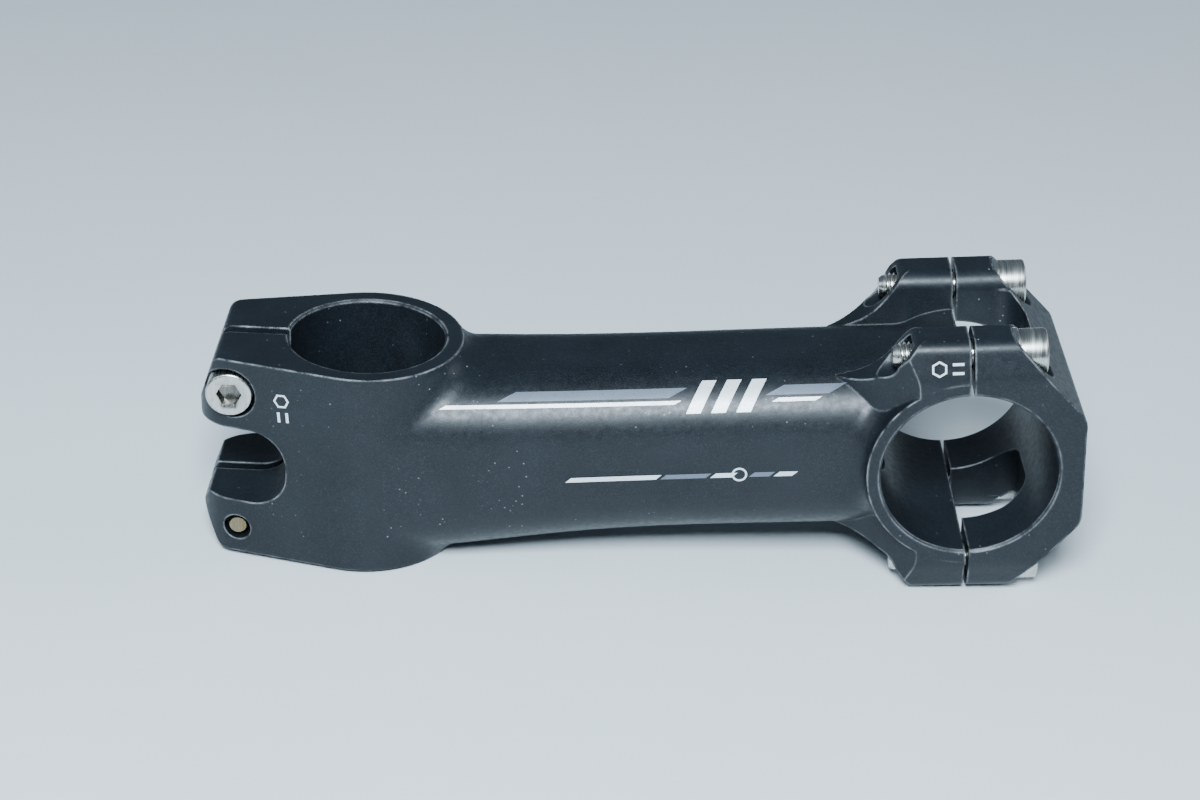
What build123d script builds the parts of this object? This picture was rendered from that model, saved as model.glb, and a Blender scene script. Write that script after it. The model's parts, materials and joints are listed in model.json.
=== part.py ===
from build123d import *
import math
import os

# Threadless bicycle stem. Millimetres and degrees.
# Frame: Z up along the steerer axis, X forward to the handlebar, Y to the rider's left.
# Origin: on the steerer axis, in the bottom face of the steerer clamp.

# ---- driving dimensions ----
steerer_d = 28.6  # bore for a 1 1/8 inch steerer tube
bar_d = 31.8  # bore for an oversize handlebar
stem_length = 110.0  # steerer axis to handlebar axis, along the extension
stem_angle = 5.0  # rise of the extension above the horizontal
clamp_height = 40.0  # steerer clamp, bottom face to top face
axis_height = 18.6  # extension axis above the bottom face, at the steerer axis
bar_clamp_width = 41.0  # handlebar clamp, side to side

# ---- steerer clamp ----
collar_r = 17.6
collar_blend = 6.0  # where the collar meets the extension
ear_x = 22.0  # centre of the rounded rear corners of the ears
ear_y = 4.5
ear_corner_r = 8.0
ear_top_x = 26.4  # rear edge of the upper ears at the top face
ear_rear_x = 29.9
ear_waist_x = 28.4
ear_edge_r = 2.0
slit_width = 2.4
notch_low = 11.0  # window between the two pairs of ears
notch_high = 26.2
notch_front = 13.5  # how far behind the steerer axis the window ends
notch_corner_r = 6.8
upper_pinch = (-23.7, 33.3)  # pinch bolt axes, x and z
lower_pinch = (-22.9, 5.2)
pinch_seat_y = 8.2  # spot face of a pinch bolt's head, from the middle plane
bore_chamfer = 0.4  # on the rims of both bores

# ---- extension ----
# distance along it, width, height, corner radius, shift upwards
sections = [
    (1.0, 34.0, 36.0, 11.0, -0.5),
    (16.0, 33.9, 35.6, 11.5, -0.8),
    (30.0, 33.4, 34.4, 12.0, -0.5),
    (60.0, 32.6, 33.0, 12.0, 0.0),
    (88.0, 33.0, 33.0, 12.0, 0.0),
    (108.0, 34.0, 32.6, 12.0, 0.0),
]
# the hollow inside: distance, width, height, corner radius
hollow_sections = [
    (23.0, 16.0, 16.0, 7.0),
    (33.0, 27.0, 27.6, 9.0),
    (60.0, 27.0, 27.4, 9.0),
    (80.0, 26.0, 26.4, 9.0),
    (88.0, 19.0, 19.0, 8.0),
]
hollow_mouth_d = 18.0  # the hollow opens into the handlebar bore

# ---- handlebar clamp ----
ring_r = 18.4
ring_blend = 4.5
split_gap = 0.35  # from the handlebar axis back to the body's split face
plate_gap = 0.35  # from the axis forward to the faceplate's split face
lug_inner_y = 9.0
lug_inner_r = 3.2
lug_top = 25.4
lug_crown_y = 18.2  # the lugs' sides lean in from lug_waist to lug_top
lug_crown_r = 2.6
lug_waist = 18.6
lug_waist_r = 9.0
lug_rear = 9.2
lug_rear_r = 3.0
arm_slope = 52.0  # of the arms' rear sides, against the extension
arm_heel_z = 20.4  # here the slopes begin to flatten
arm_toe_z = 15.4  # and here they have sunk into the extension
arm_flank = (24.0, 9.4)  # the arms' outer sides taper to here, behind the axis and to the side
pocket_x = 10.2  # floor of the pocket round a bolt's end, behind the handlebar axis
pocket_d = 7.4
plate_spot_d = 9.2
bolt_y = 14.0
bolt_z = 21.2
seat_x = 7.4  # washer seat in front of the handlebar axis
facet_foot_z = 10.6  # the faceplate's slanted faces run from the seats' tops to here on the flat front
facet_foot_r = 4.0
front_x = 20.4
window_x = 12.6  # front end of the faceplate's windows
window_r = 5.0

# ---- fasteners (M5 socket head cap screws) ----
shank_d = 4.9
bolt_hole_d = 5.0
clearance_d = 5.5
head_d = 8.5
head_height = 5.0
plate_bolt_length = 22.0
pinch_bolt_length = 20.0
head_chamfer = 0.5
tip_chamfer = 0.6
key_size = 4.0
key_depth = 2.6
washer_d = 8.9
washer_hole_d = 5.2
washer_height = 1.0
spot_d = 9.6

cos_a = math.cos(math.radians(stem_angle))
sin_a = math.sin(math.radians(stem_angle))
extension_dir = Vector(cos_a, 0, sin_a)
rise_dir = Vector(-sin_a, 0, cos_a)
extension_start = Vector(0, 0, axis_height)
bar_centre = extension_start + extension_dir * stem_length
half_width = bar_clamp_width / 2
reach = 60.0  # longer than any cut has to go

os.makedirs("parts", exist_ok=True)


def write(piece, name):
    piece.label = name
    export_step(piece, f"parts/{name}.step")
    print(name, len(piece.solids()), round(piece.volume))


def side_plane(origin):
    # seen from the right side: x along the extension, y up across it
    return Plane(origin=origin, x_dir=extension_dir, z_dir=(0, -1, 0))


def cross_plane(origin, distance):
    # across the extension, a distance along it: x to the left, y up
    return Plane(origin=origin + extension_dir * distance, x_dir=(0, 1, 0), z_dir=extension_dir)


def plan_plane(origin):
    # looking down on the extension: x along it, y to the left
    return Plane(origin=origin, x_dir=extension_dir, z_dir=rise_dir)


def bar_frame(point):
    # a point's place from the handlebar's centre: along the extension, to the left, up
    offset = point - bar_centre
    return offset.dot(extension_dir), offset.Y, offset.dot(rise_dir)


def samples(edge):
    return [edge.position_at(t) for t in (0.0, 0.25, 0.5, 0.75, 1.0)]


def on_collar(edge):
    return all(
        abs(math.hypot(p.X, p.Y) - collar_r) < 0.05 and 0 < p.Z < clamp_height
        for p in samples(edge)
    )


def on_ring(edge):
    places = [bar_frame(p) for p in samples(edge)]
    return all(
        abs(math.hypot(along, rise) - ring_r) < 0.05 and abs(side) < half_width - 0.3
        for along, side, rise in places
    )


def on_bore_rim(edge):
    points = samples(edge)
    places = [bar_frame(p) for p in points]
    on_steerer_rim = all(
        abs(math.hypot(p.X, p.Y) - steerer_d / 2) < 0.02 and min(p.Z, clamp_height - p.Z) < 0.02
        for p in points
    )
    on_bar_rim = all(
        abs(math.hypot(along, rise) - bar_d / 2) < 0.02 and abs(abs(side) - half_width) < 0.02
        for along, side, rise in places
    )
    return on_steerer_rim or on_bar_rim


# ---- stem body ----
with BuildPart() as collar:
    with BuildSketch(Plane.XY):
        Circle(collar_r)
        with Locations((-ear_x, ear_y), (-ear_x, -ear_y)):
            Circle(ear_corner_r)
        make_hull()
    extrude(amount=clamp_height)
    with BuildSketch(Plane.XZ) as rear_profile:
        with BuildLine():
            Polyline(
                (20, 0), (20, clamp_height), (-ear_top_x, clamp_height),
                (-ear_rear_x, upper_pinch[1] - 4), (-ear_rear_x, notch_high),
                (-ear_waist_x, notch_low), (-ear_rear_x, notch_low - 3.5),
                (-ear_top_x, 0), (20, 0),
            )
        make_face()
        fillet(rear_profile.vertices().filter_by(lambda v: v.X < 0), radius=ear_edge_r)
    extrude(amount=30, both=True, mode=Mode.INTERSECT)

# the four arms that carry the faceplate bolts: one outline from each of three sides
slope = math.radians(arm_slope)
heel_x = lug_rear + (lug_top - arm_heel_z) / math.tan(slope)
toe_x = heel_x + (arm_heel_z - arm_toe_z) / math.tan(slope / 2)
with BuildPart() as arms:
    with BuildSketch(side_plane(bar_centre)) as arm_side:
        with BuildLine():
            Polyline((0, 0), (0, lug_top), (-lug_rear, lug_top), (-heel_x, arm_heel_z))
            TangentArc((-heel_x, arm_heel_z), (-toe_x, arm_toe_z), tangent=(-1, -math.tan(slope)))
            Polyline((-toe_x, arm_toe_z), (-toe_x, 0), (0, 0))
        make_face()
        fillet(arm_side.vertices().filter_by(lambda v: abs(v.X + lug_rear) < 0.1), radius=lug_rear_r)
        mirror(about=Plane.XZ)
    extrude(amount=half_width, both=True)
    with BuildSketch(plan_plane(bar_centre)):
        with BuildLine():
            Polyline(
                (0, lug_inner_y), (0, half_width), (-lug_rear, half_width),
                (-arm_flank[0], arm_flank[1]), (-arm_flank[0], lug_inner_y), (0, lug_inner_y),
            )
        make_face()
        mirror(about=Plane.XZ)
    extrude(amount=40, both=True, mode=Mode.INTERSECT)
    with BuildSketch(cross_plane(bar_centre, 0)) as arm_cross:
        with BuildLine():
            Polyline(
                (lug_inner_y, -lug_top), (lug_inner_y, lug_top), (lug_crown_y, lug_top),
                (half_width, lug_waist), (half_width, -lug_waist), (lug_crown_y, -lug_top),
                (lug_inner_y, -lug_top),
            )
        make_face()
        inner = arm_cross.vertices().filter_by(lambda v: v.X < lug_inner_y + 0.1)
        fillet(inner, radius=lug_inner_r)
        fillet(arm_cross.vertices().filter_by(lambda v: abs(v.X - lug_crown_y) < 0.1), radius=lug_crown_r)
        fillet(arm_cross.vertices().filter_by(lambda v: abs(v.X - half_width) < 0.1), radius=lug_waist_r)
        mirror(about=Plane.YZ)
    extrude(amount=-40, mode=Mode.INTERSECT)

with BuildPart() as stem_body:
    for distance, width, height, corner, rise in sections:
        with BuildSketch(cross_plane(extension_start, distance)):
            with Locations((0, rise)):
                RectangleRounded(width, height, corner)
    loft()
    add(collar.part)
    fillet(stem_body.edges().filter_by(on_collar), radius=collar_blend)
    with BuildSketch(side_plane(bar_centre)):
        Circle(ring_r)
    extrude(amount=half_width, both=True)
    fillet(stem_body.edges().filter_by(on_ring), radius=ring_blend)
    add(arms.part)
    # everything in front of the split face belongs to the faceplate
    with BuildSketch(cross_plane(bar_centre, -split_gap)):
        Rectangle(80, 80)
    extrude(amount=reach, mode=Mode.SUBTRACT)
    with BuildSketch(side_plane(bar_centre)):
        Circle(bar_d / 2)
    extrude(amount=reach, both=True, mode=Mode.SUBTRACT)
    with BuildSketch(Plane.XY):
        Circle(steerer_d / 2)
    extrude(amount=clamp_height, mode=Mode.SUBTRACT)
    # slit through both pairs of ears
    with BuildSketch(Plane.XY):
        with Locations((-ear_x, 0)):
            Rectangle(2 * (ear_x - 10), slit_width)
    extrude(amount=clamp_height, mode=Mode.SUBTRACT)
    # window between the ears
    with BuildSketch(Plane.XZ):
        with Locations((-notch_front - 15, (notch_low + notch_high) / 2)):
            RectangleRounded(30, notch_high - notch_low, notch_corner_r)
    extrude(amount=reach, both=True, mode=Mode.SUBTRACT)
    chamfer(stem_body.edges().filter_by(on_bore_rim), length=bore_chamfer)
    # bolt holes through the arms, each with a pocket round the thread's end
    for side in (bolt_y, -bolt_y):
        for rise in (bolt_z, -bolt_z):
            with BuildSketch(cross_plane(bar_centre, -pocket_x)):
                with Locations((side, rise)):
                    Circle(pocket_d / 2)
            extrude(amount=-12, mode=Mode.SUBTRACT)
            with BuildSketch(cross_plane(bar_centre, 0)):
                with Locations((side, rise)):
                    Circle(bolt_hole_d / 2)
            extrude(amount=-pocket_x - 1, mode=Mode.SUBTRACT)
    # pinch bolt holes, each with a spot face for the head
    for (pinch_x, pinch_z), side in ((upper_pinch, -1), (lower_pinch, 1)):
        with BuildSketch(Plane.XZ):
            with Locations((pinch_x, pinch_z)):
                Circle(bolt_hole_d / 2)
        extrude(amount=20, both=True, mode=Mode.SUBTRACT)
        with BuildSketch(Plane.XZ.offset(-side * pinch_seat_y)):
            with Locations((pinch_x, pinch_z)):
                Circle(spot_d / 2)
        extrude(amount=-side * 20, mode=Mode.SUBTRACT)

with BuildPart() as hollow:
    for distance, width, height, corner in hollow_sections:
        with BuildSketch(cross_plane(extension_start, distance)):
            RectangleRounded(width, height, corner)
    loft()
    with BuildSketch(cross_plane(extension_start, hollow_sections[-2][0])):
        Circle(hollow_mouth_d / 2)
    extrude(amount=stem_length - bar_d / 4 - hollow_sections[-2][0])

with stem_body:
    add(hollow.part, mode=Mode.SUBTRACT)

write(stem_body.part, "stem_body")

# ---- faceplate ----
with BuildPart() as faceplate:
    with BuildSketch(side_plane(bar_centre)) as plate_side:
        with BuildLine():
            Polyline((0, 0), (0, lug_top), (seat_x, lug_top), (front_x, facet_foot_z), (front_x, 0), (0, 0))
        make_face()
        fillet(plate_side.vertices().filter_by(lambda v: v.X > seat_x + 1 and v.Y > 1), radius=facet_foot_r)
        mirror(about=Plane.XZ)
    extrude(amount=half_width, both=True)
    # the lugs' outer sides lean in, in line with the body's
    with BuildSketch(cross_plane(bar_centre, 0)) as plate_cross:
        with BuildLine():
            Polyline(
                (0, lug_top), (lug_crown_y, lug_top), (half_width, lug_waist), (half_width, -lug_waist),
                (lug_crown_y, -lug_top), (0, -lug_top), (0, lug_top),
            )
        make_face()
        fillet(plate_cross.vertices().filter_by(lambda v: abs(v.X - lug_crown_y) < 0.1), radius=lug_crown_r)
        fillet(plate_cross.vertices().filter_by(lambda v: abs(v.X - half_width) < 0.1), radius=lug_waist_r)
        mirror(about=Plane.YZ)
    extrude(amount=40, mode=Mode.INTERSECT)
    # windows above and below, between the two bands
    with BuildSketch(plan_plane(bar_centre)) as plate_window:
        with BuildLine():
            Polyline(
                (-1, -lug_inner_y), (window_x, -lug_inner_y), (window_x, lug_inner_y), (-1, lug_inner_y),
                (-1, -lug_inner_y),
            )
        make_face()
        fillet(plate_window.vertices().filter_by(lambda v: v.X > 0), radius=window_r)
    extrude(amount=40, both=True, mode=Mode.SUBTRACT)
    # round the inner shoulders of the lugs
    with BuildSketch(cross_plane(bar_centre, 0)):
        with BuildLine():
            shoulder_z = lug_top - lug_inner_r
            shoulder_y = lug_inner_y + lug_inner_r
            RadiusArc((lug_inner_y, shoulder_z), (shoulder_y, lug_top), lug_inner_r)
            Polyline(
                (shoulder_y, lug_top), (shoulder_y, lug_top + 1), (lug_inner_y - 1, lug_top + 1),
                (lug_inner_y - 1, shoulder_z), (lug_inner_y, shoulder_z),
            )
        make_face()
        mirror(about=Plane.XZ)
        mirror(about=Plane.YZ)
    extrude(amount=front_x, mode=Mode.SUBTRACT)
    with BuildSketch(side_plane(bar_centre)):
        Circle(bar_d / 2)
    extrude(amount=reach, both=True, mode=Mode.SUBTRACT)
    with BuildSketch(cross_plane(bar_centre, plate_gap)):
        Rectangle(80, 80)
    extrude(amount=-10, mode=Mode.SUBTRACT)
    chamfer(faceplate.edges().filter_by(on_bore_rim), length=bore_chamfer)
    # bolt holes, with a spot face for each washer
    for side in (bolt_y, -bolt_y):
        for rise in (bolt_z, -bolt_z):
            with BuildSketch(cross_plane(bar_centre, seat_x)):
                with Locations((side, rise)):
                    Circle(plate_spot_d / 2)
            extrude(amount=12, mode=Mode.SUBTRACT)
            with BuildSketch(cross_plane(bar_centre, 0)):
                with Locations((side, rise)):
                    Circle(clearance_d / 2)
            extrude(amount=12, mode=Mode.SUBTRACT)

write(faceplate.part, "faceplate")


# ---- fasteners ----
def cap_screw(seat, length):
    # seat: plane under the head, its normal pointing out through the head
    with BuildPart() as screw:
        with BuildSketch(seat):
            Circle(head_d / 2)
        extrude(amount=head_height)
        rims = screw.edges().filter_by(GeomType.CIRCLE)
        chamfer(rims.sort_by(lambda e: seat.to_local_coords(e.center()).Z)[-1], length=head_chamfer)
        with BuildSketch(seat):
            Circle(shank_d / 2)
        extrude(amount=-length)
        rims = screw.edges().filter_by(GeomType.CIRCLE)
        chamfer(rims.sort_by(lambda e: seat.to_local_coords(e.center()).Z)[0], length=tip_chamfer)
        with BuildSketch(seat.offset(head_height)):
            RegularPolygon(radius=key_size / 2, side_count=6, major_radius=False)
        extrude(amount=-key_depth, mode=Mode.SUBTRACT)
    return screw.part


def washer(seat):
    with BuildPart() as flat_ring:
        with BuildSketch(seat):
            Circle(washer_d / 2)
            Circle(washer_hole_d / 2, mode=Mode.SUBTRACT)
        extrude(amount=washer_height)
    return flat_ring.part


# the rider's right hand is on -Y
corners = {
    "upper_left": (bolt_y, bolt_z),
    "upper_right": (-bolt_y, bolt_z),
    "lower_left": (bolt_y, -bolt_z),
    "lower_right": (-bolt_y, -bolt_z),
}
for corner, (side, rise) in corners.items():
    plate_seat = cross_plane(bar_centre + Vector(0, side, 0) + rise_dir * rise, seat_x)
    write(washer(plate_seat), f"faceplate_washer_{corner}")
    write(cap_screw(plate_seat.offset(washer_height), plate_bolt_length), f"faceplate_bolt_{corner}")

for name, (pinch_x, pinch_z), side in (("upper", upper_pinch, -1), ("lower", lower_pinch, 1)):
    pinch_seat = Plane(origin=(pinch_x, side * pinch_seat_y, pinch_z), x_dir=(1, 0, 0), z_dir=(0, side, 0))
    write(cap_screw(pinch_seat, pinch_bolt_length), f"pinch_bolt_{name}")
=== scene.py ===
import json
import math
import bmesh
import bpy
from mathutils import Matrix, Vector
from mathutils.bvhtree import BVHTree


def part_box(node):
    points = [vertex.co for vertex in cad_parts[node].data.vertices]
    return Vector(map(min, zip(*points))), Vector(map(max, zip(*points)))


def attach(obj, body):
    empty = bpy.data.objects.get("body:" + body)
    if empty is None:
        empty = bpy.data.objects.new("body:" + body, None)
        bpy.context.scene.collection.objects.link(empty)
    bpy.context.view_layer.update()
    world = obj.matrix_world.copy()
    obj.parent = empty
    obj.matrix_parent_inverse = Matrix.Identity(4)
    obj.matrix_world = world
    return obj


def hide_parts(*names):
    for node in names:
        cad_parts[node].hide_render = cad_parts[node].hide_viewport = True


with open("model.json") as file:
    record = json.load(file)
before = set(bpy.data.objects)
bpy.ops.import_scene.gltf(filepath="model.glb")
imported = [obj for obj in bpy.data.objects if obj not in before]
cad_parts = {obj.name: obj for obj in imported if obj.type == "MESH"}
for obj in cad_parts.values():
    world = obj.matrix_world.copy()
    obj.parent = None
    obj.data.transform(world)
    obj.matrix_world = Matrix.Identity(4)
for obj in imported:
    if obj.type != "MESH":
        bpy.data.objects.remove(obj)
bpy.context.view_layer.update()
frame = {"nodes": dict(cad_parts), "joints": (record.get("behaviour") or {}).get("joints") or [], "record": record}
nodes = frame["nodes"]
joints = {j["name"]: j for j in frame["joints"]}
print("frame loaded,", len(nodes), "nodes")

# directions shared by everything on the stem
along = Vector(joints["faceplate_lift"]["axis"]).normalized()  # steerer to handlebar
side = Vector((0, 1, 0))  # to the rider's left
rise = along.cross(side)
barMount = [m for m in frame["record"]["mounts"] if m["name"] == "bar_clamp"][0]
barCentre = Vector(barMount["pos_m"])
stemLength = 0.110
axisStart = barCentre - along * stemLength


def newMaterial(name):
    mat = bpy.data.materials.new(name)
    mat.use_nodes = True
    tree = mat.node_tree
    tree.nodes.clear()
    out = tree.nodes.new("ShaderNodeOutputMaterial")
    shader = tree.nodes.new("ShaderNodeBsdfPrincipled")
    tree.links.new(shader.outputs["BSDF"], out.inputs["Surface"])
    return mat, tree, shader


def setInputs(node, values):
    for key, value in values.items():
        node.inputs[key].default_value = value


def objectNoise(tree, scale, detail=2.0, rough=0.5, stretch=(1, 1, 1), turn=(0, 0, 0)):
    coords = tree.nodes.new("ShaderNodeTexCoord")
    place = tree.nodes.new("ShaderNodeMapping")
    place.inputs["Scale"].default_value = stretch
    place.inputs["Rotation"].default_value = turn
    noise = tree.nodes.new("ShaderNodeTexNoise")
    setInputs(noise, {"Scale": scale, "Detail": detail, "Roughness": rough})
    tree.links.new(coords.outputs["Object"], place.inputs["Vector"])
    tree.links.new(place.outputs["Vector"], noise.inputs["Vector"])
    return noise.outputs["Fac"]


def objectCells(tree, scale):
    coords = tree.nodes.new("ShaderNodeTexCoord")
    cells = tree.nodes.new("ShaderNodeTexVoronoi")
    cells.inputs["Scale"].default_value = scale
    tree.links.new(coords.outputs["Object"], cells.inputs["Vector"])
    return cells


def ramp(tree, source, low, high, lowValue=0.0, highValue=1.0):
    span = tree.nodes.new("ShaderNodeMapRange")
    setInputs(span, {"From Min": low, "From Max": high, "To Min": lowValue, "To Max": highValue})
    tree.links.new(source, span.inputs["Value"])
    return span.outputs["Result"]


def combine(tree, operation, a, b):
    step = tree.nodes.new("ShaderNodeMath")
    step.operation = operation
    step.use_clamp = True
    for slot, value in ((0, a), (1, b)):
        if isinstance(value, (int, float)):
            step.inputs[slot].default_value = value
        else:
            tree.links.new(value, step.inputs[slot])
    return step.outputs[0]


def mixColour(tree, fac, a, b):
    mix = tree.nodes.new("ShaderNodeMix")
    mix.data_type = "RGBA"
    if isinstance(fac, (int, float)):
        mix.inputs["Factor"].default_value = fac
    else:
        tree.links.new(fac, mix.inputs["Factor"])
    for slot, value in ((6, a), (7, b)):
        if isinstance(value, tuple):
            mix.inputs[slot].default_value = value
        else:
            tree.links.new(value, mix.inputs[slot])
    return mix.outputs[2]


def edgeMask(tree, radius, low, high):
    # how far the rounded normal leans from the true one: bright along every edge
    bevel = tree.nodes.new("ShaderNodeBevel")
    bevel.samples = 6
    bevel.inputs["Radius"].default_value = radius
    geo = tree.nodes.new("ShaderNodeNewGeometry")
    dot = tree.nodes.new("ShaderNodeVectorMath")
    dot.operation = "DOT_PRODUCT"
    tree.links.new(bevel.outputs["Normal"], dot.inputs[0])
    tree.links.new(geo.outputs["Normal"], dot.inputs[1])
    edges = ramp(tree, dot.outputs["Value"], high, low)
    # inside corners are shaded by their own walls and stay out of it
    shade = tree.nodes.new("ShaderNodeAmbientOcclusion")
    shade.samples = 4
    shade.inputs["Distance"].default_value = radius * 2
    return combine(tree, "MULTIPLY", edges, ramp(tree, shade.outputs["AO"], 0.80, 0.96))


def addBump(tree, shader, height, strength, distance, rounding=0.0):
    bump = tree.nodes.new("ShaderNodeBump")
    setInputs(bump, {"Strength": strength, "Distance": distance})
    tree.links.new(height, bump.inputs["Height"])
    if rounding:
        bevel = tree.nodes.new("ShaderNodeBevel")
        bevel.samples = 6
        bevel.inputs["Radius"].default_value = rounding
        tree.links.new(bevel.outputs["Normal"], bump.inputs["Normal"])
    tree.links.new(bump.outputs["Normal"], shader.inputs["Normal"])


paintLook = {
    "base": (0.0040, 0.0052, 0.0068, 1),
    "fleck": (0.030, 0.042, 0.056, 1),
    "dust": (0.42, 0.44, 0.46, 1),
    # worn: light grey of rubbed edges, also a painted highlight along the rims
    "worn": (0.34, 0.35, 0.37, 1),
    "fleckScale": 5200,
    "cloudScale": 60,
    "cloudAmount": 0.16,
    "speckScale": 780,
    "streakScale": 420,
    "markAmount": 0.55,
    "wearScale": 330,
    "wearAndHighlightAmount": 0.6,
    "roughScale": 900,
    "roughLow": 0.34,
    "roughHigh": 0.50,
    "grainScale": 3800,
    "edgeRadius": 0.0006,
}


def blackPaint():
    look = paintLook
    mat, tree, shader = newMaterial("satinBlackPaint")
    flecks = ramp(tree, objectNoise(tree, look["fleckScale"], 3.0, 0.7), 0.52, 0.80)
    cloud = ramp(tree, objectNoise(tree, look["cloudScale"], 4.0, 0.6), 0.35, 0.75)
    colour = mixColour(tree, flecks, look["base"], look["fleck"])
    colour = mixColour(tree, combine(tree, "MULTIPLY", cloud, look["cloudAmount"]), colour, look["fleck"])
    # sparse pale specks of dust and tiny chips
    specks = objectCells(tree, look["speckScale"])
    dots = ramp(tree, specks.outputs["Distance"], 0.15, 0.05)
    chosen = ramp(tree, specks.outputs["Color"], 0.66, 0.72)
    patches = ramp(tree, objectNoise(tree, look["cloudScale"], 4.0, 0.7), 0.44, 0.62)
    dust = combine(tree, "MULTIPLY", dots, combine(tree, "MULTIPLY", chosen, patches))
    # short rubbed marks
    streaks = ramp(tree, objectNoise(tree, look["streakScale"], 6.0, 0.75, (1, 1, 0.35)), 0.68, 0.76)
    rubbed = combine(tree, "MULTIPLY", streaks, ramp(tree, objectNoise(tree, 70, 2.0), 0.54, 0.64))
    marks = combine(tree, "MULTIPLY", combine(tree, "ADD", dust, rubbed), look["markAmount"])
    colour = mixColour(tree, marks, colour, look["dust"])
    # paint rubbed thin along the edges, and a painted highlight on the rims: lighter colour along every outer edge
    wearAndRimHighlight = combine(
        tree, "MULTIPLY",
        edgeMask(tree, look["edgeRadius"], 0.93, 0.995),
        ramp(tree, objectNoise(tree, look["wearScale"], 4.0, 0.7), 0.36, 0.60),
    )
    colour = mixColour(tree, combine(tree, "MULTIPLY", wearAndRimHighlight, look["wearAndHighlightAmount"]), colour, look["worn"])
    tree.links.new(colour, shader.inputs["Base Color"])
    clouds = objectNoise(tree, look["roughScale"], 3.0, 0.6)
    rough = ramp(tree, clouds, 0.3, 0.7, look["roughLow"], look["roughHigh"])
    tree.links.new(rough, shader.inputs["Roughness"])
    setInputs(shader, {"Metallic": 0.15, "Specular IOR Level": 0.34})
    setInputs(shader, {"Coat Weight": 0.06, "Coat Roughness": 0.2})
    grain = objectNoise(tree, look["grainScale"], 2.0, 0.6)
    addBump(tree, shader, grain, 0.16, 0.00006, look["edgeRadius"])
    return mat


steelLook = {
    "base": (0.60, 0.585, 0.55, 1),
    "dark": (0.30, 0.29, 0.27, 1),
    "grime": (0.10, 0.09, 0.08, 1),
    "turnScale": 2600,
    "roughLow": 0.20,
    "roughHigh": 0.36,
}


def turnedSteel(name, lean, tint=None):
    # lean: the turn that lays the lathe marks across the screw's own axis
    look = steelLook
    mat, tree, shader = newMaterial(name)
    base = tint or look["base"]
    rings = objectNoise(tree, look["turnScale"], 3.0, 0.65, (1.0, 0.04, 0.04), lean)
    colour = mixColour(tree, ramp(tree, rings, 0.35, 0.65), look["dark"], base)
    colour = mixColour(tree, 0.62, colour, base)
    stains = ramp(tree, objectNoise(tree, 420, 4.0, 0.6), 0.56, 0.74)
    colour = mixColour(tree, combine(tree, "MULTIPLY", stains, 0.5), colour, look["dark"])
    specks = ramp(tree, objectNoise(tree, 2400, 2.0, 0.6), 0.64, 0.72)
    colour = mixColour(tree, combine(tree, "MULTIPLY", specks, 0.5), colour, look["grime"])
    tree.links.new(colour, shader.inputs["Base Color"])
    rough = ramp(tree, rings, 0.3, 0.7, look["roughLow"], look["roughHigh"])
    tree.links.new(rough, shader.inputs["Roughness"])
    setInputs(shader, {"Metallic": 1.0, "Anisotropic": 0.35})
    addBump(tree, shader, rings, 0.10, 0.00003)
    return mat


def inkFinish(name, colour, worn):
    mat, tree, shader = newMaterial(name)
    chips = ramp(tree, objectNoise(tree, 1500, 4.0, 0.7), 0.62, 0.70)
    grain = ramp(tree, objectNoise(tree, 5200, 2.0, 0.6), 0.40, 0.72)
    deeper = tuple(c * 0.72 for c in colour[:3]) + (1,)
    tint = mixColour(tree, combine(tree, "MULTIPLY", grain, 0.35), colour, deeper)
    tint = mixColour(tree, combine(tree, "MULTIPLY", chips, worn), tint, paintLook["base"])
    tree.links.new(tint, shader.inputs["Base Color"])
    rough = ramp(tree, grain, 0.0, 1.0, 0.34, 0.48)
    tree.links.new(rough, shader.inputs["Roughness"])
    setInputs(shader, {"Metallic": 0.15, "Coat Weight": 0.2, "Coat Roughness": 0.25})
    return mat


tilt = math.atan2(along.z, along.x)
paint = blackPaint()
plateSteel = turnedSteel("turnedSteelPlateScrews", (0, tilt, 0))
pinchSteel = turnedSteel("turnedSteelPinchScrews", (0, 0, math.radians(90)))
# yellowed thread colour, also made dark as painted shade of the lower pinch screw's recessed end
yellowedShadedSteel = turnedSteel("yellowedShadedShankSteel", (0, 0, math.radians(90)), (0.20, 0.145, 0.065, 1))
# steel darkened as painted shade for the inside of the hexagon sockets
socketShadeSteel = turnedSteel("shadedSocketSteel", (0, 0, 0), (0.15, 0.14, 0.125, 1))
washerSteel = turnedSteel("brightWasherSteel", (0, tilt, 0), (0.70, 0.70, 0.69, 1))
greyInk = inkFinish("greyInk", (0.105, 0.125, 0.160, 1), 0.5)
whiteInk = inkFinish("whiteInk", (0.66, 0.69, 0.72, 1), 0.7)
print("finishes made")


def meshObject(name, bm, mat, body, smoothAngle=35):
    mesh = bpy.data.meshes.new(name)
    bm.to_mesh(mesh)
    bm.free()
    mesh.materials.append(mat)
    obj = bpy.data.objects.new(name, mesh)
    bpy.context.scene.collection.objects.link(obj)
    smoothByAngle(obj, smoothAngle)
    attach(obj, body)
    return obj


def smoothByAngle(obj, degrees):
    bpy.ops.object.select_all(action="DESELECT")
    obj.select_set(True)
    bpy.context.view_layer.objects.active = obj
    bpy.ops.object.shade_smooth_by_angle(angle=math.radians(degrees))


def lathe(bm, outline, steps):
    # outline: (radius, height) points, turned round Z
    verts = [bm.verts.new((r, 0, h)) for r, h in outline]
    edges = [bm.edges.new(pair) for pair in zip(verts, verts[1:])]
    bmesh.ops.spin(
        bm, geom=verts + edges, cent=(0, 0, 0), axis=(0, 0, 1), dvec=(0, 0, 0),
        angle=2 * math.pi, steps=steps, use_merge=True, use_duplicate=False,
    )


def placeAt(bm, spot, axis):
    turn = axis.to_track_quat("Z", "Y").to_matrix().to_4x4()
    bmesh.ops.transform(bm, matrix=Matrix.Translation(spot) @ turn, verts=bm.verts)


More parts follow.
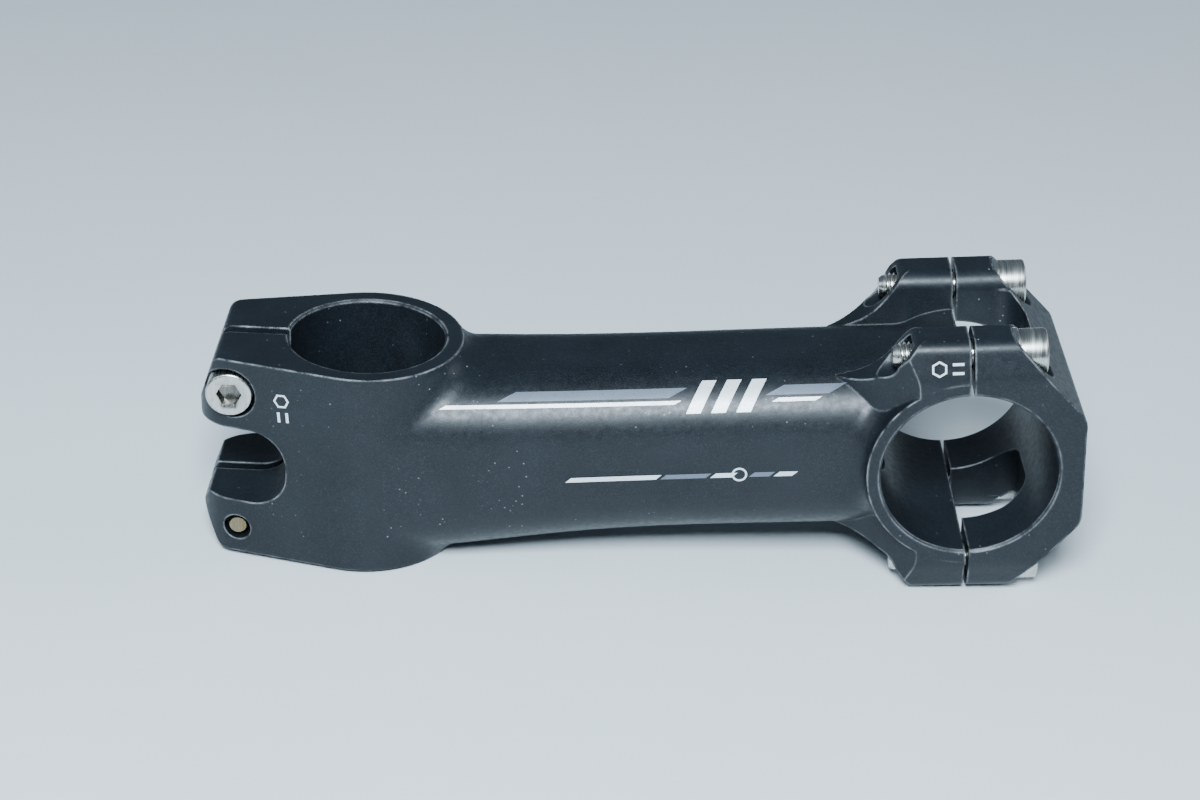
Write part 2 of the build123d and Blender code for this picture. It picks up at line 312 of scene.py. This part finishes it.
screw = {
    "headRadius": 0.00423,
    "headHeight": 0.005,
    "headRound": 0.00045,
    "rimRadius": 0.00285,  # the socket's countersunk mouth
    "keyAcross": 0.004,
    "keyDepth": 0.0026,
    "mouthDepth": 0.00035,
    "drillDepth": 0.0008,
    "threadRadius": 0.00245,
    "rootRadius": 0.00205,
    "neck": 0.0012,
    "pitch": 0.0008,
    "tip": 0.0007,
    "steps": 48,
    "threadSteps": 24,
}


def screwHead(s):
    # from the socket's mouth round the head and down the plain neck
    top = s["headHeight"]
    r, bend = s["headRadius"], s["headRound"]
    corner = [
        (r - bend + bend * math.sin(a), top - bend + bend * math.cos(a))
        for a in (math.radians(15 * i) for i in range(7))
    ]
    thread, root, neck = s["threadRadius"], s["rootRadius"], s["neck"]
    return [(s["rimRadius"], top)] + corner + [
        (r, 0.00022), (r - 0.00018, 0.0), (thread + 0.0002, 0.0),
        (thread, -0.0002), (thread, -neck + 0.0003), (root, -neck),
    ]


def buildScrew(name, seat, axis, length, mat, body, cadNode, shankMat):
    s = screw
    bm = bmesh.new()
    root, tip = s["rootRadius"], s["tip"]
    shank = [(root, -length + tip), (root - tip * 0.7, -length), (0, -length)]
    lathe(bm, screwHead(s) + shank, s["steps"])
    # hexagon socket: mouth, walls, drilled bottom; walls and bottom take the darker steel, painted shade inside
    # the socket
    top = s["headHeight"]
    rim = {v for e in bm.edges if e.is_boundary for v in e.verts if abs(v.co.z - top) < 1e-7}
    ring = sorted(rim, key=lambda v: math.atan2(v.co.y, v.co.x))
    mouth, bottom = top - s["mouthDepth"], top - s["keyDepth"]
    for height in (mouth, bottom):
        inner = []
        for vert in ring:
            angle = math.atan2(vert.co.y, vert.co.x)
            reach = s["keyAcross"] / 2 / math.cos((angle % (math.pi / 3)) - math.pi / 6)
            inner.append(bm.verts.new((reach * math.cos(angle), reach * math.sin(angle), height)))
        for i in range(len(ring)):
            face = bm.faces.new((ring[i - 1], ring[i], inner[i], inner[i - 1]))
            face.material_index = 1 if height == bottom else 0
        ring = inner
    drilled = bm.verts.new((0, 0, top - s["keyDepth"] - s["drillDepth"]))
    for i in range(len(ring)):
        bm.faces.new((ring[i - 1], ring[i], drilled)).material_index = 1
    # rolled thread
    rootX, crestX, p = root - 0.00008, s["threadRadius"], s["pitch"]
    start, end = -s["neck"] - 0.0004, -length + tip + 0.0005
    turns = (start - end) / p
    section = [(rootX, 0.42 * p), (crestX, 0.09 * p), (crestX, -0.09 * p), (rootX, -0.42 * p)]
    ring = [bm.verts.new((x, 0, end + z)) for x, z in section]
    face = bm.faces.new(ring)
    bmesh.ops.spin(
        bm, geom=[face] + ring + list(face.edges), cent=(0, 0, 0), axis=(0, 0, 1),
        dvec=(0, 0, p / s["threadSteps"]), angle=2 * math.pi * turns,
        steps=int(round(turns * s["threadSteps"])), use_merge=False, use_duplicate=False,
    )
    bmesh.ops.remove_doubles(bm, verts=bm.verts, dist=2e-6)
    bmesh.ops.recalc_face_normals(bm, faces=bm.faces)
    for face in bm.faces:
        if face.calc_center_median().z < -0.0003:
            face.material_index = 2
    placeAt(bm, seat, axis)
    obj = meshObject(name, bm, mat, body)
    # second slot: socket walls and bottom, steel darkened as painted shade
    obj.data.materials.append(socketShadeSteel)
    obj.data.materials.append(shankMat)
    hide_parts(cadNode)


washer = {"outer": 0.00445, "inner": 0.0026, "height": 0.001, "round": 0.00016, "steps": 64}


def buildWasher(name, seat, axis, body, cadNode):
    w = washer
    b = w["round"]
    outline = [
        (w["inner"], b), (w["inner"] + b, 0), (w["outer"] - b, 0), (w["outer"], b),
        (w["outer"], w["height"] - b), (w["outer"] - b, w["height"]),
        (w["inner"] + b, w["height"]), (w["inner"], w["height"] - b), (w["inner"], b),
    ]
    bm = bmesh.new()
    lathe(bm, outline, w["steps"])
    bmesh.ops.remove_doubles(bm, verts=bm.verts, dist=2e-6)
    bmesh.ops.recalc_face_normals(bm, faces=bm.faces)
    placeAt(bm, seat, axis)
    obj = meshObject(name, bm, washerSteel, body)
    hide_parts(cadNode)


plateScrewLength = 0.022
for corner in ("upper_left", "upper_right", "lower_left", "lower_right"):
    joint = joints["bolt_turn_" + corner]
    axis = Vector(joint["axis"]).normalized()
    seat = Vector(joint["pos_m"])
    buildWasher("washer_" + corner, seat, axis, "washer_" + corner, "faceplate_washer_" + corner)
    buildScrew(
        "plate_screw_" + corner, seat + axis * washer["height"], axis, plateScrewLength,
        plateSteel, "bolt_" + corner, "faceplate_bolt_" + corner, plateSteel,
    )
for name in ("upper", "lower"):
    low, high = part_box("pinch_bolt_" + name)
    axis = Vector(joints["pinch_slide_" + name]["axis"]).normalized()
    length = (high.y - low.y) - screw["headHeight"]
    seat = (low + high) / 2 + axis * ((high.y - low.y) / 2 - screw["headHeight"])
    # lower pinch screw's shank: yellowed, and darkened as painted shade of its recessed end
    shankMat = yellowedShadedSteel if name == "lower" else pinchSteel
    buildScrew(
        "pinch_screw_" + name, seat, axis, length,
        pinchSteel, "pinch_" + name, "pinch_bolt_" + name, shankMat,
    )
print("screws and washers made")

for name in ("stem_body", "faceplate"):
    obj = nodes[name]
    obj.data.materials.clear()
    obj.data.materials.append(paint)
print("painted parts finished")


inkThickness = 0.00004
bodyMesh = nodes["stem_body"].data
bodySurface = BVHTree.FromPolygons(
    [v.co for v in bodyMesh.vertices], [tuple(p.vertices) for p in bodyMesh.polygons],
)


def layInk(name, bm, spot, u, facing, mat):
    # a flat mark in u and v is carried along -facing until it meets the stem's body
    v = facing.cross(u).normalized()
    bmesh.ops.triangulate(bm, faces=bm.faces)
    for vert in bm.verts:
        start = spot + u * vert.co.x + v * vert.co.y + facing * 0.02
        vert.co = bodySurface.ray_cast(start, -facing)[0] + facing * inkThickness
    bmesh.ops.recalc_face_normals(bm, faces=bm.faces)
    if sum(f.normal.dot(facing) for f in bm.faces) < 0:
        bmesh.ops.reverse_faces(bm, faces=bm.faces)
    bmesh.ops.solidify(bm, geom=bm.faces, thickness=inkThickness * 0.75)
    bmesh.ops.recalc_face_normals(bm, faces=bm.faces)
    obj = meshObject(name, bm, mat, "stem", 30)


def inkBar(length, width, slant=0.0, cell=0.0012):
    # a bar with slanted ends
    bm = bmesh.new()
    columns, rows = max(2, round(length / cell)), max(1, round(width / cell))
    bmesh.ops.create_grid(bm, x_segments=columns, y_segments=rows, size=0.5)
    for vert in bm.verts:
        vert.co.x = vert.co.x * length + vert.co.y * width * slant
        vert.co.y *= width
    return bm


def inkRing(radius, width, segments):
    bm = bmesh.new()
    for r in (radius, radius - width):
        bmesh.ops.create_circle(bm, cap_ends=False, radius=r, segments=segments)
    bmesh.ops.bridge_loops(bm, edges=list(bm.edges))
    return bm


def onExtension(distance, sideways, upwards):
    return axisStart + along * distance + side * sideways + rise * upwards


marks = {
    "shoulder": 42.0,  # degrees from straight up to the stripes on the rounded shoulder
    "greyFrom": 0.0275,
    "greyTo": 0.0870,
    "greyWidth": 0.0019,
    "greyPlace": (-0.0122, 0.0142),  # to the left and up, from the extension's axis
    "lineFrom": 0.0160,
    "lineTo": 0.0835,
    "lineWidth": 0.0007,
    "linePlace": (-0.0136, 0.0130),
    "stripeSlant": 1.8,
    "slashes": (0.0625, 0.0670, 0.0715),
    "slashSize": (0.0026, 0.0062),
    "slashPlace": (-0.0127, 0.0136),
    "slashGap": 0.0042,  # from a slash's middle to the stripes' ends
    "sideFrom": 0.0380,
    "sideTo": 0.0790,
    "sideWidth": 0.0009,
    "sidePlace": (-0.0165, -0.0010),
    "ringAt": 0.0690,
    "ringPlace": (-0.0163, -0.0009),
}
lean = math.radians(marks["shoulder"])
shoulder = (rise * math.cos(lean) - side * math.sin(lean)).normalized()
slashFirst = marks["slashes"][0] - marks["slashGap"]
slashLast = marks["slashes"][-1] + marks["slashGap"]

# grey stripe and white line, each broken by the three slashes
stripes = (
    ("grey_stripe_rear", marks["greyFrom"], slashFirst, "grey", greyInk),
    ("grey_stripe_front", slashLast, marks["greyTo"], "grey", greyInk),
    ("white_line_rear", marks["lineFrom"], slashFirst, "line", whiteInk),
    ("white_line_front", slashLast, marks["lineTo"], "line", whiteInk),
)
for name, first, last, kind, ink in stripes:
    bar = inkBar(last - first, marks[kind + "Width"], marks["stripeSlant"])
    layInk(name, bar, onExtension((first + last) / 2, *marks[kind + "Place"]), along, shoulder, ink)
for index, place in enumerate(marks["slashes"]):
    bar = inkBar(*marks["slashSize"], 0.5, 0.0008)
    layInk(f"slash_{index + 1}", bar, onExtension(place, *marks["slashPlace"]), along, shoulder, whiteInk)

# line of dashes on the side: start and end as shares of its length
dashes = (
    (0.0, 0.40, whiteInk), (0.42, 0.62, greyInk), (0.64, 0.735, whiteInk), (0.81, 0.90, greyInk),
    (0.92, 1.0, whiteInk),
)
sideSpan = marks["sideTo"] - marks["sideFrom"]
for index, (first, last, ink) in enumerate(dashes):
    middle = marks["sideFrom"] + sideSpan * (first + last) / 2
    bar = inkBar(sideSpan * (last - first), marks["sideWidth"], 1.2)
    layInk(f"side_dash_{index + 1}", bar, onExtension(middle, *marks["sidePlace"]), along, -side, ink)
ringSpot = onExtension(marks["ringAt"], *marks["ringPlace"])
layInk("side_ring", inkRing(0.0014, 0.00035, 32), ringSpot, along, -side, whiteInk)

# plain hexagon and bars by the screws: which key to use, without words
earFacing = (-side + along * -0.24).normalized()
plateFacing = (-side + rise * 0.32).normalized()
for name, spot, u, facing in (
    ("ear", onExtension(-0.0127, -0.0147, 0.0146), -rise, earFacing),
    ("lug", onExtension(stemLength - 0.0045, -0.0197, 0.0212), along, plateFacing),
):
    v = facing.cross(u).normalized()
    layInk(f"key_mark_{name}", inkRing(0.0015, 0.0004, 6), spot - u * 0.0014, u, facing, whiteInk)
    for index, lift in enumerate((0.0008, -0.0008)):
        bar = inkBar(0.0020, 0.0005, 0.0, 0.0004)
        layInk(f"key_bar_{name}_{index + 1}", bar, spot + u * 0.0019 + v * lift, u, facing, whiteInk)
print("printed marks laid")


table = {"size": 3.0, "colour": (0.63, 0.68, 0.71, 1), "lift": -0.0001}


def buildTable():
    # the stem leans forward until it rests on its clamp's front edge and the lower lugs
    front = Vector((0.0176, 0, 0))
    corners = [v.co for v in nodes["stem_body"].data.vertices if v.co.x > 0.05]
    slope = min(math.atan2(c.z, c.x - front.x) for c in corners)
    print("table tilted by", round(math.degrees(slope), 2), "degrees")
    bm = bmesh.new()
    bmesh.ops.create_grid(bm, x_segments=8, y_segments=8, size=table["size"] / 2)
    bmesh.ops.rotate(bm, cent=(0, 0, 0), matrix=Matrix.Rotation(-slope, 3, "Y"), verts=bm.verts)
    bmesh.ops.translate(bm, vec=front + Vector((0, 0, table["lift"])), verts=bm.verts)
    mesh = bpy.data.meshes.new("table_top")
    bm.to_mesh(mesh)
    bm.free()
    mat, tree, shader = newMaterial("paleTable")
    cloud = ramp(tree, objectNoise(tree, 14, 4.0, 0.6), 0.3, 0.7)
    colour = mixColour(tree, combine(tree, "MULTIPLY", cloud, 0.35), table["colour"], (0.70, 0.74, 0.76, 1))
    smudge = ramp(tree, objectNoise(tree, 90, 5.0, 0.7), 0.66, 0.80)
    colour = mixColour(tree, combine(tree, "MULTIPLY", smudge, 0.22), colour, (0.42, 0.43, 0.43, 1))
    tree.links.new(colour, shader.inputs["Base Color"])
    setInputs(shader, {"Roughness": 0.55})
    addBump(tree, shader, objectNoise(tree, 900, 3.0, 0.6), 0.08, 0.0001)
    mesh.materials.append(mat)
    obj = bpy.data.objects.new("table_top", mesh)
    bpy.context.scene.collection.objects.link(obj)


buildTable()

lamps = {
    # name: (position, size, watts, colour)
    "softOver": ((0.00, -0.50, 0.55), 0.24, 16.5, (0.76, 0.90, 1.0)),
    "softLeft": ((-0.75, -0.25, 0.50), 0.45, 1.6, (0.78, 0.90, 1.0)),
    "softRight": ((0.85, 0.05, 0.50), 0.5, 2.0, (0.86, 0.94, 1.0)),
}
for name, (spot, size, watts, tint) in lamps.items():
    lamp = bpy.data.lights.new(name, "AREA")
    lamp.shape = "SQUARE"
    lamp.size = size
    lamp.energy = watts
    lamp.color = tint
    obj = bpy.data.objects.new(name, lamp)
    obj.location = spot
    aim = Vector((0.05, 0, 0.02)) - Vector(spot)
    obj.rotation_euler = aim.to_track_quat("-Z", "Y").to_euler()
    bpy.context.scene.collection.objects.link(obj)

world = bpy.data.worlds.new("studio")
world.use_nodes = True
background = world.node_tree.nodes["Background"]
setInputs(background, {"Color": (0.60, 0.80, 1.0, 1), "Strength": 0.20})
bpy.context.scene.world = world

view = {
    "azimuth": -0.776,
    "elevation": 28.806,
    "roll": 3.08,
    "distance": 0.445945,
    "lens": 72.09,
    "target": (0.043147, 0.0, 0.028731),
}


def buildCamera():
    az, el, roll = (math.radians(view[k]) for k in ("azimuth", "elevation", "roll"))
    back = Vector((math.sin(az) * math.cos(el), -math.cos(az) * math.cos(el), math.sin(el)))
    right = Vector((0, 0, 1)).cross(back).normalized()
    up = back.cross(right)
    rolledRight = right * math.cos(roll) + up * math.sin(roll)
    rolledUp = up * math.cos(roll) - right * math.sin(roll)
    camera = bpy.data.cameras.new("camera")
    camera.lens = view["lens"]
    camera.sensor_width = 36
    camera.clip_start = 0.01
    obj = bpy.data.objects.new("camera", camera)
    turn = Matrix((rolledRight, rolledUp, back)).transposed().to_4x4()
    obj.matrix_world = Matrix.Translation(Vector(view["target"]) + back * view["distance"]) @ turn
    bpy.context.scene.collection.objects.link(obj)
    bpy.context.scene.camera = obj


buildCamera()
print("stage set")
